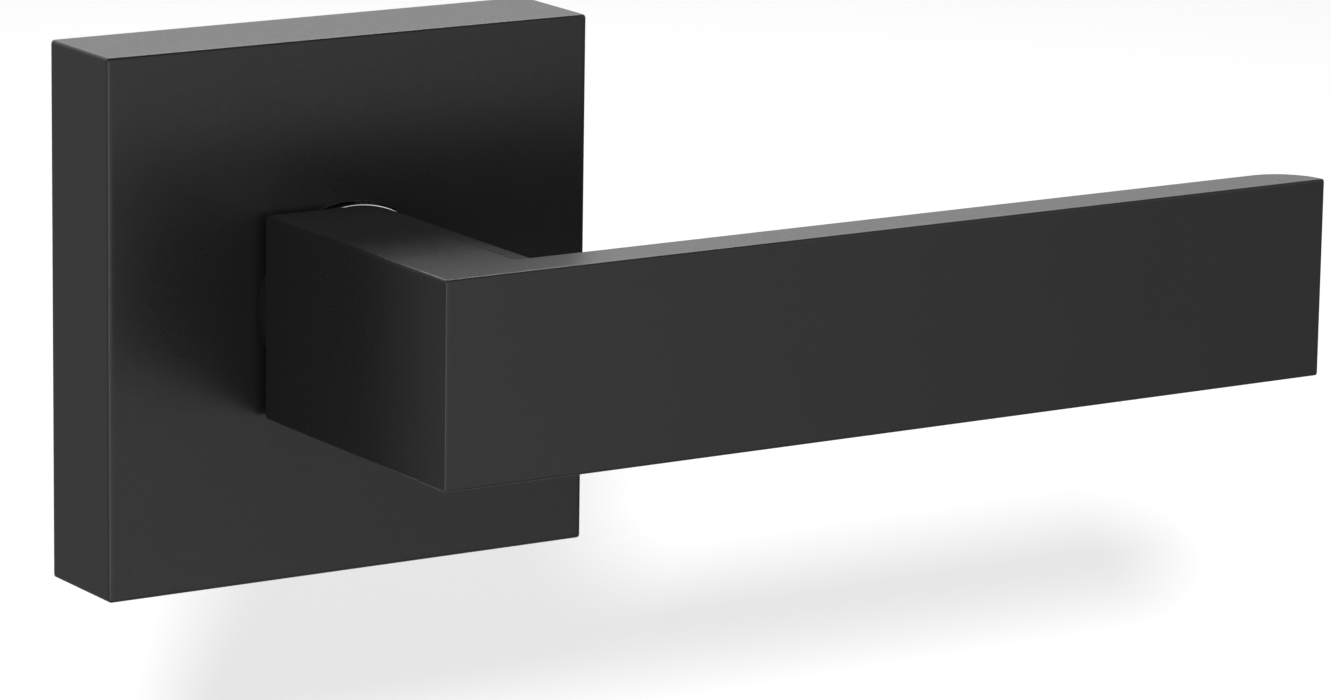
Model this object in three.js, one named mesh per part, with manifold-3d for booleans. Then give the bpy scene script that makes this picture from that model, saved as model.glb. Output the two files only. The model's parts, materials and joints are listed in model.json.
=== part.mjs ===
// Sprung door lever handle on a square rose, millimetres, +Z up.
// Frame: origin on the spindle axis at the door's surface. The lever stands out
// along -Y, the spindle and the fixing screws go into the door along +Y, and the
// grip runs along +X. Everything on the lever turns together about the Y axis.

import * as THREE from 'three';
import { mergeVertices } from 'three/addons/utils/BufferGeometryUtils.js';
import Module from 'manifold-3d';

// ---------------------------------------------------------------- dimensions
const ROSE = 66;            // side of the square rose cover
const ROSE_DEPTH = 14.5;    // how far the rose stands off the door
const ROSE_WALL = 1.6;      // wall of the cover shell
const ROSE_EDGE = 0.4;      // broken edge of the cover
const ROSE_HOLE_R = 12.85;  // round hole for the hub collar

const GRIP_H = 25;          // height of the lever bar and of the neck
const GRIP_T = 6.5;         // thickness of the bar
const GRIP_END = 114;       // far end of the bar
const PROJECTION = 58;      // front of the bar from the door
const NECK_R = GRIP_H / 2;  // inner side of the neck is a half round
const NECK_GAP = 1.2;       // air between rose and neck
const LEVER_EDGE = 0.5;     // broken edges of the lever
const SOCKET_R = 8.3;       // blind socket for the hub's stub
const SOCKET_END = 38.5;    // bottom of that socket, from the door

const HUB_R = 8.0;          // hub tube and stub
const HUB_COLLAR_R = 12.6;  // bright collar that shows in the gap
const HUB_BACK_R = 11.5;    // its step inside the rose
const HUB_COLLAR_FLAT = 10; // half width across the collar's two side flats
const HUB_FRONT = 38.0;     // front end of the stub
const HUB_TAIL = 3.2;       // tail behind the plate
const HUB_FLAT = 6.9;       // half width across the hub's two driving flats
const SQUARE_HOLE = 8.3;    // square hole for the spindle
const SPINDLE = 8.0;        // side of the spindle
const SPINDLE_FRONT = 34;   // spindle end inside the hub
const SPINDLE_BACK = 44;    // spindle end inside the door
const SPINDLE_FIT = 7.9;    // side of the stretch that slides into the hub
const SPINDLE_STEP = 4.4;   // where that stretch ends

const PLATE = 61.6;         // side of the mounting plate
const PLATE_T = 2.2;
const TAB_W = 16;           // bent tabs that locate the cover
const TAB_T = 1.5;
const TAB_DEPTH = 8.6;

const HOUSING_R = 25.5;     // spring housing, outside
const HOUSING_WALL = 1.2;
const HOUSING_BACK = 2.5;   // flange face, from the door
const HOUSING_FRONT = 10.9; // front face, from the door
const FLANGE = 55;          // square flange of the housing
const WELL_R = 5.4;         // wells that clear the fixing screws
const WELL_BORE = 4.4;

const FIX_Z = 19;           // fixing screws, 38 mm apart
const FIX_R = 2.0;          // M4
const FIX_END = 42;         // screw end inside the door
const LUG_R = 4.0;          // locating lug
const LUG_END = 8;
const CORNER = 24;          // housing screws, on a square of 48 mm

const CAM_R = 13.2;         // cam driver disc
const CAM_FRONT = 9.35;
const CAM_BACK = 7.75;
const WING_R = 20.5;        // stop wing of the cam
const WING_HALF = 12;       // its half angle, degrees
const TRAVEL = 45;          // lever travel each way, degrees
const PIN_R = 1.5;          // stop pins
const PIN_AT = 17.6;        // their radius from the spindle axis

const COIL_R = 11.0;        // mean radius of the spring coil
const WIRE_R = 0.65;
const COIL_TURNS = 2;
const COIL_PITCH = 1.45;
const LEG_END = 20.6;       // how far the spring's legs reach
const LUG_HALF = 1.7;       // half width of the lugs between the legs

// ------------------------------------------------------------------- helpers
const wasm = await Module();
wasm.setup();

const rad = (deg) => (deg * Math.PI) / 180;

function solid(geometry) {
  const g = geometry.clone();
  for (const name of Object.keys(g.attributes)) {
    if (name !== 'position') g.deleteAttribute(name);
  }
  const m = mergeVertices(g, 1e-4);
  const mesh = new wasm.Mesh({
    numProp: 3,
    vertProperties: new Float32Array(m.attributes.position.array),
    triVerts: new Uint32Array(m.index.array),
  });
  return new wasm.Manifold(mesh);
}

function geometryOf(manifold) {
  const mesh = manifold.getMesh();
  const g = new THREE.BufferGeometry();
  const positions = new Float32Array(mesh.numVert * 3);
  for (let i = 0; i < mesh.numVert; i++) {
    for (let k = 0; k < 3; k++) {
      positions[i * 3 + k] = mesh.vertProperties[i * mesh.numProp + k];
    }
  }
  g.setAttribute('position', new THREE.BufferAttribute(positions, 3));
  g.setIndex(new THREE.BufferAttribute(new Uint32Array(mesh.triVerts), 1));
  g.computeVertexNormals();
  return g;
}

const join = (...parts) => geometryOf(parts.map(solid).reduce((a, b) => a.add(b)));
const cut = (body, ...tools) =>
  geometryOf(tools.map(solid).reduce((a, b) => a.subtract(b), solid(body)));
const common = (a, b) => geometryOf(solid(a).intersect(solid(b)));

// A shape drawn in the X-Z plane, as a prism from yBack forward to yFront.
function prismY(shape, yBack, yFront, curveSegments = 24) {
  const g = new THREE.ExtrudeGeometry(shape, {
    depth: yBack - yFront,
    bevelEnabled: false,
    curveSegments,
  });
  g.rotateX(Math.PI / 2);
  g.translate(0, yBack, 0);
  return g;
}

// A shape drawn in the X-Y plane, as a prism from z0 up to z1.
function prismZ(shape, z0, z1, curveSegments = 24) {
  const g = new THREE.ExtrudeGeometry(shape, {
    depth: z1 - z0,
    bevelEnabled: false,
    curveSegments,
  });
  g.translate(0, 0, z0);
  return g;
}

// A closed ring or disc turned about the Y axis; points are [radius, y].
function turned(points, segments = 48) {
  const profile = points.map(([r, y]) => new THREE.Vector2(r, y));
  let area = 0;
  for (let i = 0; i < profile.length; i++) {
    const a = profile[i];
    const b = profile[(i + 1) % profile.length];
    area += a.x * b.y - b.x * a.y;
  }
  if (area < 0) profile.reverse();
  const closed = profile.every((p) => p.x > 1e-6);
  if (closed) {
    profile.push(profile[0].clone());
  } else {
    while (profile[0].x > 1e-6 || profile[profile.length - 1].x > 1e-6) {
      profile.push(profile.shift());
    }
  }
  return new THREE.LatheGeometry(profile, segments);
}

function box(x0, x1, y0, y1, z0, z1) {
  const g = new THREE.BoxGeometry(x1 - x0, y1 - y0, z1 - z0);
  g.translate((x0 + x1) / 2, (y0 + y1) / 2, (z0 + z1) / 2);
  return g;
}

// A round bar along Y, and one along Z.
function barY(r, y0, y1, x = 0, z = 0, segments = 32) {
  const g = new THREE.CylinderGeometry(r, r, y1 - y0, segments);
  g.translate(x, (y0 + y1) / 2, z);
  return g;
}

function barZ(r, z0, z1, x, y, segments = 32) {
  const g = new THREE.CylinderGeometry(r, r, z1 - z0, segments);
  g.rotateX(Math.PI / 2);
  g.translate(x, y, (z0 + z1) / 2);
  return g;
}

function roundedSquare(side, r) {
  const h = side / 2;
  const s = new THREE.Shape();
  s.moveTo(-h + r, -h);
  s.lineTo(h - r, -h);
  s.absarc(h - r, -h + r, r, -Math.PI / 2, 0, false);
  s.lineTo(h, h - r);
  s.absarc(h - r, h - r, r, 0, Math.PI / 2, false);
  s.lineTo(-h + r, h);
  s.absarc(-h + r, h - r, r, Math.PI / 2, Math.PI, false);
  s.lineTo(-h, -h + r);
  s.absarc(-h + r, -h + r, r, Math.PI, Math.PI * 1.5, false);
  return s;
}

function ringSector(r0, r1, a0, a1) {
  const s = new THREE.Shape();
  s.absarc(0, 0, r1, a0, a1, false);
  s.absarc(0, 0, r0, a1, a0, true);
  s.closePath();
  return s;
}

// A frustum-like block: a square of side s at yBack that shrinks by the broken
// edge over the last stretch before yFront, as a die-cast cover has.
function blockBroken(side, yBack, yFront, edge) {
  const h = side / 2;
  const rows = [
    [h - edge * 0.5, yBack],
    [h, yBack - edge * 0.5],
    [h, yFront + edge],
    [h - edge, yFront],
  ];
  const positions = [];
  const index = [];
  for (const [r, y] of rows) {
    positions.push(-r, y, -r, r, y, -r, r, y, r, -r, y, r);
  }
  for (let i = 0; i < rows.length - 1; i++) {
    for (let k = 0; k < 4; k++) {
      const a = i * 4 + k;
      const b = i * 4 + ((k + 1) % 4);
      index.push(a, b, b + 4, a, b + 4, a + 4);
    }
  }
  const e = (rows.length - 1) * 4;
  index.push(0, 2, 1, 0, 3, 2, e, e + 1, e + 2, e, e + 2, e + 3);
  const g = new THREE.BufferGeometry();
  g.setAttribute('position', new THREE.Float32BufferAttribute(positions, 3));
  g.setIndex(index);
  g.computeVertexNormals();
  return g;
}

// Turns a closed mesh the right way out.
function outward(g) {
  const p = g.attributes.position;
  const ix = g.index;
  let volume = 0;
  const a = new THREE.Vector3();
  const b = new THREE.Vector3();
  const c = new THREE.Vector3();
  for (let i = 0; i < ix.count; i += 3) {
    a.fromBufferAttribute(p, ix.getX(i));
    b.fromBufferAttribute(p, ix.getX(i + 1));
    c.fromBufferAttribute(p, ix.getX(i + 2));
    volume += a.dot(b.cross(c)) / 6;
  }
  if (volume < 0) {
    for (let i = 0; i < ix.count; i += 3) {
      const t = ix.getX(i + 1);
      ix.setX(i + 1, ix.getX(i + 2));
      ix.setX(i + 2, t);
    }
    g.computeVertexNormals();
  }
  return g;
}

// ----------------------------------------------------------------- materials
const finish = (color, roughness, metalness) =>
  new THREE.MeshStandardMaterial({ color, roughness, metalness });
const blackCoat = finish(0x2c2a2b, 0.42, 0.15);
const nickel = finish(0xd8d6d0, 0.18, 1.0);
const zincSteel = finish(0xa7abb0, 0.38, 1.0);
const darkSteel = finish(0x3c3e41, 0.45, 1.0);
const springSteel = finish(0x6d6f73, 0.3, 1.0);
const acetal = finish(0x1f1f20, 0.5, 0.0);

const group = new THREE.Group();
const rose = new THREE.Group();
const turning = new THREE.Group();
group.add(rose, turning);

function add(parent, name, geometry, material) {
  const mesh = new THREE.Mesh(geometry, material);
  mesh.name = name;
  parent.add(mesh);
  return mesh;
}

// --------------------------------------------------------------- lever (turns)
// Plan outline of the bar, with the full-thickness quarter round at its end.
{
  const yF = -PROJECTION;
  const yB = yF + GRIP_T;
  const xL = -NECK_R;
  const e = LEVER_EDGE;
  const plan = new THREE.Shape();
  plan.moveTo(xL, yF + e);
  plan.lineTo(xL + e, yF);
  plan.lineTo(GRIP_END - e, yF);
  plan.lineTo(GRIP_END, yF + e);
  for (let i = 1; i <= 10; i++) {
    const t = rad(90 * (i / 10));
    plan.lineTo(
      GRIP_END - GRIP_T + GRIP_T * Math.cos(t),
      yF + e + (GRIP_T - e) * Math.sin(t),
    );
  }
  plan.lineTo(xL, yB);
  plan.closePath();
  const bar = prismZ(plan, -NECK_R, NECK_R);

  const d = new THREE.Shape();
  d.moveTo(-NECK_R, -NECK_R);
  d.lineTo(0, -NECK_R);
  for (let i = 1; i < 24; i++) {
    const t = rad(-90 + (180 * i) / 24);
    d.lineTo(NECK_R * Math.cos(t), NECK_R * Math.sin(t));
  }
  d.lineTo(0, NECK_R);
  d.lineTo(-NECK_R, NECK_R);
  d.closePath();
  const neck = prismY(d, -(ROSE_DEPTH + NECK_GAP), yB - 0.6);

  const socket = barY(SOCKET_R, -SOCKET_END, -10, 0, 0, 40);
  const grubHole = barZ(2.8, -14, -7, 0, -24, 24);
  add(turning, 'lever_handle', cut(join(bar, neck), socket, grubHole), blackCoat);
}

// M5 set screw in the neck's underside, with a hexagon socket.
{
  const body = barZ(2.5, -12.1, -7.9, 0, -24, 24);
  const hex = barZ(1.45, -13, -9.9, 0, -24, 6);
  add(turning, 'lever_grub_screw', cut(body, hex), darkSteel);
}

// Drive hub: stub in the lever, bright collar with a flat on each side, tube
// through the rose, square hole.
{
  const body = turned([
    [0, -HUB_FRONT],
    [HUB_R - 0.8, -HUB_FRONT],
    [HUB_R, -HUB_FRONT + 0.8],
    [HUB_R, -(ROSE_DEPTH + 0.9)],
    [HUB_COLLAR_R - 0.15, -(ROSE_DEPTH + 0.9)],
    [HUB_COLLAR_R, -(ROSE_DEPTH + 0.75)],
    [HUB_COLLAR_R, -14.3],
    [HUB_BACK_R, -14.3],
    [HUB_BACK_R, -12.3],
    [HUB_R, -12.3],
    [HUB_R, 1.15],
    [HUB_R - 0.9, 1.15],
    [HUB_R - 0.9, 2.25],
    [HUB_R, 2.25],
    [HUB_R, HUB_TAIL - 0.4],
    [HUB_R - 0.4, HUB_TAIL],
    [0, HUB_TAIL],
  ]);
  const square = box(-SQUARE_HOLE / 2, SQUARE_HOLE / 2, -60, 20, -SQUARE_HOLE / 2, SQUARE_HOLE / 2);
  const flatL = box(-20, -HUB_FLAT, -9.7, 20, -20, 20);
  const flatR = box(HUB_FLAT, 20, -9.7, 20, -20, 20);
  const collarL = box(-20, -HUB_COLLAR_FLAT, -20, -9.7, -20, 20);
  const collarR = box(HUB_COLLAR_FLAT, 20, -20, -9.7, -20, 20);
  const seat = box(-4, 4, -27.5, -20.5, -20, -7.6);
  add(
    turning,
    'drive_hub',
    cut(body, square, flatL, flatR, collarL, collarR, seat),
    nickel,
  );
}

// Spindle: square bar with broken edges, eased where it slides into the hub.
{
  const bar = (side, c, yBack, yFront) => {
    const h = side / 2;
    const s = new THREE.Shape();
    s.moveTo(-h + c, -h);
    s.lineTo(h - c, -h);
    s.lineTo(h, -h + c);
    s.lineTo(h, h - c);
    s.lineTo(h - c, h);
    s.lineTo(-h + c, h);
    s.lineTo(-h, h - c);
    s.lineTo(-h, -h + c);
    s.closePath();
    return prismY(s, yBack, yFront);
  };
  const inside = bar(SPINDLE_FIT, 0.6, SPINDLE_STEP + 0.5, -SPINDLE_FRONT);
  const outside = bar(SPINDLE, 0.6, SPINDLE_BACK, SPINDLE_STEP);
  add(turning, 'spindle', join(inside, outside), zincSteel);
}

// Cam driver: keyed disc, stop wing towards +X, spring lug towards -X.
{
  const disc = barY(CAM_R, -CAM_FRONT, -CAM_BACK, 0, 0, 48);
  const wing = prismY(
    ringSector(CAM_R - 2, WING_R, rad(-WING_HALF), rad(WING_HALF)),
    -CAM_BACK,
    -CAM_FRONT,
    6,
  );
  const wingLeg = prismY(
    ringSector(PIN_AT - 1.8, WING_R, rad(-WING_HALF), rad(WING_HALF)),
    -3.6,
    -CAM_BACK - 0.4,
    6,
  );
  const arm = box(-16.0, -CAM_R + 2.5, -CAM_FRONT, -CAM_BACK, -LUG_HALF, LUG_HALF);
  const lug = box(-16.0, -13.0, -CAM_BACK - 0.4, -2.7, -LUG_HALF, LUG_HALF);
  const hole = common(
    barY(HUB_R + 0.3, -20, 5, 0, 0, 48),
    box(-(HUB_FLAT + 0.25), HUB_FLAT + 0.25, -20, 5, -20, 20),
  );
  add(turning, 'cam_driver', cut(join(disc, wing, wingLeg, arm, lug), hole), darkSteel);
}

// Washers and ring behind the plate, in the door's spindle hole.
{
  const r0 = HUB_R + 0.3;
  const r1 = 11.6;
  const n = 36;
  const positions = [];
  const index = [];
  for (let i = 0; i < n; i++) {
    const t = (2 * Math.PI * i) / n;
    const w = 0.62 + 0.16 * Math.cos(3 * t);
    for (const [r, y] of [[r0, w - 0.15], [r1, w - 0.15], [r1, w + 0.15], [r0, w + 0.15]]) {
      positions.push(r * Math.cos(t), y, r * Math.sin(t));
    }
  }
  for (let i = 0; i < n; i++) {
    const j = (i + 1) % n;
    for (let k = 0; k < 4; k++) {
      const m = (k + 1) % 4;
      index.push(i * 4 + k, i * 4 + m, j * 4 + m, i * 4 + k, j * 4 + m, j * 4 + k);
    }
  }
  const g = new THREE.BufferGeometry();
  g.setAttribute('position', new THREE.Float32BufferAttribute(positions, 3));
  g.setIndex(index);
  add(turning, 'wave_washer', outward(g), springSteel);
}
{
  const s = new THREE.Shape();
  const gap = rad(24);
  const mid = -Math.PI / 2;
  s.absarc(0, 0, 10.6, mid + gap, mid + 2 * Math.PI - gap, false);
  s.absarc(0, 0, HUB_R - 0.6, mid + 2 * Math.PI - gap, mid + gap, true);
  s.closePath();
  add(turning, 'circlip', prismY(s, 2.1, 1.3, 20), springSteel);
}

// ---------------------------------------------------------------- rose (fixed)
// Cover shell: square box open at the back, round hole in front, screw hole below.
{
  const outer = blockBroken(ROSE, 0, -ROSE_DEPTH, ROSE_EDGE);
  const i = ROSE / 2 - ROSE_WALL;
  const inner = box(-i, i, -(ROSE_DEPTH - ROSE_WALL), 5, -i, i);
  const hole = barY(ROSE_HOLE_R, -30, 0, 0, 0, 64);
  const screw = barZ(1.8, -40, -25, 0, -5.2, 20);
  add(rose, 'rose_cover', cut(outer, inner, hole, screw), blackCoat);
}

// M3 set screw through the cover's bottom wall into the plate's bottom tab.
{
  const z0 = -ROSE / 2 + 0.15;
  const body = barZ(1.5, z0, z0 + 5.2, 0, -5.2, 20);
  const hex = barZ(0.88, z0 - 1, z0 + 1.5, 0, -5.2, 6);
  add(rose, 'cover_grub_screw', cut(body, hex), darkSteel);
}

// Mounting plate with its two bent tabs.
{
  const base = prismY(roundedSquare(PLATE, 3), 0, -PLATE_T, 5);
  const zt = PLATE / 2;
  const top = box(-TAB_W / 2, TAB_W / 2, -TAB_DEPTH, -PLATE_T / 2, zt - TAB_T, zt);
  const bottom = box(-TAB_W / 2, TAB_W / 2, -TAB_DEPTH, -PLATE_T / 2, -zt, -zt + TAB_T);
  const tools = [
    barY(HUB_R + 0.4, -10, 10, 0, 0, 48),
    barY(3.5, -10, 10, 0, FIX_Z, 28),
    barY(3.5, -10, 10, 0, -FIX_Z, 28),
    barZ(1.8, -40, -25, 0, -5.2, 20),
  ];
  for (const sx of [-1, 1]) {
    for (const sz of [-1, 1]) tools.push(barY(1.8, -10, 10, sx * CORNER, sz * CORNER, 20));
    // Keyhole-free lightening slots beside the spindle, as pressed plates have.
    const slot = new THREE.Shape();
    slot.absarc(sx * 22, 9, 2.2, 0, Math.PI, false);
    slot.absarc(sx * 22, -9, 2.2, Math.PI, 2 * Math.PI, false);
    slot.closePath();
    tools.push(prismY(slot, 10, -10, 8));
  }
  add(rose, 'mounting_plate', cut(join(base, top, bottom), ...tools), zincSteel);
}

// Spring housing: drawn cup with a square flange and two wells for the screws.
{
  const flange = prismY(roundedSquare(FLANGE, 4), -HOUSING_BACK, -HOUSING_BACK - HOUSING_WALL, 5);
  const cup = barY(HOUSING_R, -HOUSING_FRONT, -HOUSING_BACK, 0, 0, 56);
  const inside = barY(HOUSING_R - HOUSING_WALL, -HOUSING_FRONT + HOUSING_WALL, 5, 0, 0, 56);
  const wells = [FIX_Z, -FIX_Z].map((z) => barY(WELL_R, -HOUSING_FRONT, -HOUSING_BACK, 0, z, 32));
  const anchor = box(-19.8, -17.0, -HOUSING_FRONT + 0.5, -2.7, -LUG_HALF, LUG_HALF);
  const shell = join(cut(join(flange, cup), inside), ...wells, anchor);
  const tools = [
    barY(9.9, -30, -HOUSING_FRONT + 3, 0, 0, 48),
    barY(WELL_BORE, -30, 5, 0, FIX_Z, 32),
    barY(WELL_BORE, -30, 5, 0, -FIX_Z, 32),
  ];
  for (const sx of [-1, 1]) {
    for (const sz of [-1, 1]) tools.push(barY(1.8, -10, 10, sx * CORNER, sz * CORNER, 20));
  }
  for (const s of [-1, 1]) {
    const a = rad(63.4);
    tools.push(barY(PIN_R + 0.2, -30, -8, PIN_AT * Math.cos(a), s * PIN_AT * Math.sin(a), 20));
  }
  add(rose, 'spring_housing', cut(shell, ...tools), zincSteel);
}

// End stops: pins riveted in the housing's front wall.
for (const [name, s] of [['stop_pin_upper', 1], ['stop_pin_lower', -1]]) {
  const a = rad(63.4);
  add(
    rose,
    name,
    barY(PIN_R, -HOUSING_FRONT - 0.3, -3.6, PIN_AT * Math.cos(a), s * PIN_AT * Math.sin(a), 20),
    springSteel,
  );
}

// Flanged acetal bush between the housing's front wall and the hub.
add(
  rose,
  'bearing_bush',
  turned([
    [HUB_R + 0.25, -12.0],
    [12.2, -12.0],
    [12.2, -11.15],
    [9.65, -11.15],
    [9.65, -9.75],
    [HUB_R + 0.25, -9.75],
  ]),
  acetal,
);

// Hard washer between the cam driver and the spring.
add(
  turning,
  'thrust_washer',
  turned([
    [HUB_R + 0.3, -7.5],
    [12.4, -7.5],
    [12.4, -7.1],
    [HUB_R + 0.3, -7.1],
  ]),
  springSteel,
);

// Return spring: two turns and two legs that straddle the lugs.
{
  const pts = [];
  const y0 = -6.3;
  const legHalf = LUG_HALF + 0.3 + WIRE_R;
  const aLeg = Math.PI - Math.asin(legHalf / COIL_R);
  const start = aLeg;
  const sweep = 2 * Math.PI * COIL_TURNS + 2 * (Math.PI - aLeg);
  const xl = COIL_R * Math.cos(aLeg);
  for (let i = 0; i <= 6; i++) {
    const t = i / 6;
    pts.push(new THREE.Vector3(-LEG_END + (xl + LEG_END - 1.2) * t, y0, legHalf));
  }
  const n = 52;
  for (let i = 1; i < n; i++) {
    const t = i / n;
    const a = start - sweep * t + 0;
    pts.push(
      new THREE.Vector3(COIL_R * Math.cos(a), y0 + COIL_PITCH * COIL_TURNS * t, COIL_R * Math.sin(a)),
    );
  }
  const yEnd = y0 + COIL_PITCH * COIL_TURNS;
  for (let i = 6; i >= 0; i--) {
    const t = i / 6;
    pts.push(new THREE.Vector3(-LEG_END + (xl + LEG_END - 1.2) * t, yEnd, -legHalf));
  }
  const path = new THREE.CatmullRomCurve3(pts, false, 'centripetal');
  const wire = new THREE.Shape();
  wire.absarc(0, 0, WIRE_R, 0, Math.PI * 2, false);
  const g = new THREE.ExtrudeGeometry(wire, {
    steps: 110,
    curveSegments: 4,
    bevelEnabled: false,
    extrudePath: path,
  });
  const m = mergeVertices((() => {
    const c = g.clone();
    c.deleteAttribute('normal');
    c.deleteAttribute('uv');
    return c;
  })(), 1e-4);
  add(rose, 'return_spring', outward(m), springSteel);
}

// Four M3 screws through the housing's flange into the plate.
[[-1, -1], [1, -1], [1, 1], [-1, 1]].forEach(([sx, sz], k) => {
  const x = sx * CORNER;
  const z = sz * CORNER;
  const shank = barY(1.5, -4.5, -0.3, x, z, 20);
  const head = barY(2.7, -5.9, -4.0, x, z, 28);
  const slot = join(
    box(x - 1.6, x + 1.6, -7, -5.0, z - 0.35, z + 0.35),
    box(x - 0.35, x + 0.35, -7, -5.0, z - 1.6, z + 1.6),
  );
  add(rose, `housing_screw_${k + 1}`, cut(join(shank, head), slot), zincSteel);
});

// Two M4 screws through plate and door, and the lugs round them.
for (const [name, s] of [['upper', 1], ['lower', -1]]) {
  const z = s * FIX_Z;
  const shank = barY(FIX_R, -4.0, FIX_END, 0, z, 28);
  const head = barY(3.9, -5.4, -2.6, 0, z, 32);
  const slot = join(
    box(-2.3, 2.3, -7, -4.1, z - 0.45, z + 0.45),
    box(-0.45, 0.45, -7, -4.1, z - 2.3, z + 2.3),
  );
  add(rose, `fixing_screw_${name}`, cut(join(shank, head), slot), zincSteel);
  const lug = turned([
    [2.35, -1.9],
    [3.2, -1.9],
    [3.2, 0.25],
    [LUG_R, 0.25],
    [LUG_R, LUG_END - 0.5],
    [LUG_R - 0.5, LUG_END],
    [2.35, LUG_END],
  ], 32);
  lug.translate(0, 0, z);
  add(rose, `locating_lug_${name}`, lug, zincSteel);
}

export default group;
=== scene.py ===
import json
import math

import bmesh
import bpy
from mathutils import Matrix, Vector


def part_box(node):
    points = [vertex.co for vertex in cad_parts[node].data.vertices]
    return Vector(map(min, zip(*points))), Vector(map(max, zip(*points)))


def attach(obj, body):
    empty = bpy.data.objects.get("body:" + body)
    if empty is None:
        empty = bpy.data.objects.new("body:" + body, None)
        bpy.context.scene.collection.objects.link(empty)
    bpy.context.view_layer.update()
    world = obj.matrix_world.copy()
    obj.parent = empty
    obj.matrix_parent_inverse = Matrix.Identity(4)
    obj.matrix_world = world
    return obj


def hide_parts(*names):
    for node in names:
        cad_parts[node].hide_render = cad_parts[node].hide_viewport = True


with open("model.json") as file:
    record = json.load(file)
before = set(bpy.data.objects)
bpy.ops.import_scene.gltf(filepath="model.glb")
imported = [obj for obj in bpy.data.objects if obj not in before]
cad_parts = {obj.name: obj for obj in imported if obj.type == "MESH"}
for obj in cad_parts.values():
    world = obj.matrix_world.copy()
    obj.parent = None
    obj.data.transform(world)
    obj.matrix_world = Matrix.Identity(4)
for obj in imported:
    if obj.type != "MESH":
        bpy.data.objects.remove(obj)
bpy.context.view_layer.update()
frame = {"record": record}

MM = 0.001


# --------------------------------------------------------------------- places
def box_mm(node):
    lo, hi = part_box(node)
    return [c / MM for c in lo], [c / MM for c in hi]


rc_lo, rc_hi = box_mm("rose_cover")
lv_lo, lv_hi = box_mm("lever_handle")
hub_lo, hub_hi = box_mm("drive_hub")
sp_lo, sp_hi = box_mm("spindle")
mp_lo, mp_hi = box_mm("mounting_plate")
sh_lo, sh_hi = box_mm("spring_housing")
fs_lo, fs_hi = box_mm("fixing_screw_upper")
hs_lo, hs_hi = box_mm("housing_screw_1")
ll_lo, ll_hi = box_mm("locating_lug_upper")
lg_lo, lg_hi = box_mm("lever_grub_screw")
cg_lo, cg_hi = box_mm("cover_grub_screw")
cd_lo, cd_hi = box_mm("cam_driver")
bb_lo, bb_hi = box_mm("bearing_bush")
tw_lo, tw_hi = box_mm("thrust_washer")
ww_lo, ww_hi = box_mm("wave_washer")
cc_lo, cc_hi = box_mm("circlip")
pu_lo, pu_hi = box_mm("stop_pin_upper")

ROSE_H = rc_hi[0]
ROSE_Y = rc_lo[1]
WALL = 1.6
HOLE_R = 12.85
LEVER_H = lv_hi[2]
XL, XR = lv_lo[0], lv_hi[0]
YF, YN = lv_lo[1], lv_hi[1]
BAR_T = 6.5
YB = YF + BAR_T


# ---------------------------------------------------------------- mesh helpers
def new_obj(name, verts, faces):
    me = bpy.data.meshes.new(name)
    me.from_pydata([[c * MM for c in v] for v in verts], [], faces)
    me.validate()
    bm = bmesh.new()
    bm.from_mesh(me)
    bmesh.ops.remove_doubles(bm, verts=bm.verts, dist=1e-8)
    bmesh.ops.recalc_face_normals(bm, faces=bm.faces)
    if bm.calc_volume(signed=True) < 0:
        bmesh.ops.reverse_faces(bm, faces=bm.faces)
    bm.to_mesh(me)
    bm.free()
    ob = bpy.data.objects.new(name, me)
    bpy.context.scene.collection.objects.link(ob)
    return ob


def bake_mods(ob):
    dg = bpy.context.evaluated_depsgraph_get()
    dg.update()
    me = bpy.data.meshes.new_from_object(ob.evaluated_get(dg), depsgraph=dg)
    old = ob.data
    ob.modifiers.clear()
    ob.data = me
    me.name = old.name
    bpy.data.meshes.remove(old)
    return ob


def bevel(ob, width, segments=3, angle=35):
    m = ob.modifiers.new("bevel", "BEVEL")
    m.width = width * MM
    m.segments = segments
    m.limit_method = "ANGLE"
    m.angle_limit = math.radians(angle)
    m.use_clamp_overlap = True
    return bake_mods(ob)


def bevel_edges(ob, pick, width, segments=3):
    """Rounds only the edges whose two ends (in mm) satisfy pick."""
    bm = bmesh.new()
    bm.from_mesh(ob.data)
    chosen = [
        e for e in bm.edges
        if len(e.link_faces) == 2 and e.calc_face_angle(0) > math.radians(40) and pick(e.verts[0].co / MM, e.verts[1].co / MM)
    ]
    bmesh.ops.bevel(bm, geom=chosen, offset=width * MM, segments=segments, affect="EDGES", profile=0.5, clamp_overlap=True)
    bmesh.ops.recalc_face_normals(bm, faces=bm.faces)
    bm.to_mesh(ob.data)
    bm.free()
    return ob


def boolean(ob, cutter, op="DIFFERENCE"):
    m = ob.modifiers.new("boolean", "BOOLEAN")
    m.operation = op
    m.solver = "EXACT"
    m.object = cutter
    bake_mods(ob)
    me = cutter.data
    bpy.data.objects.remove(cutter)
    bpy.data.meshes.remove(me)
    return ob


def tidy(ob, flat=0.4):
    """Joins faces that lie in one plane and drops doubled points left by a cut."""
    bm = bmesh.new()
    bm.from_mesh(ob.data)
    bmesh.ops.remove_doubles(bm, verts=bm.verts, dist=2e-7)
    bmesh.ops.dissolve_degenerate(bm, edges=bm.edges, dist=1e-7)
    bmesh.ops.dissolve_limit(
        bm, angle_limit=math.radians(flat), verts=bm.verts, edges=bm.edges,
        use_dissolve_boundaries=False, delimit=set(),
    )
    bmesh.ops.recalc_face_normals(bm, faces=bm.faces)
    bm.to_mesh(ob.data)
    bm.free()
    return ob


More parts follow.
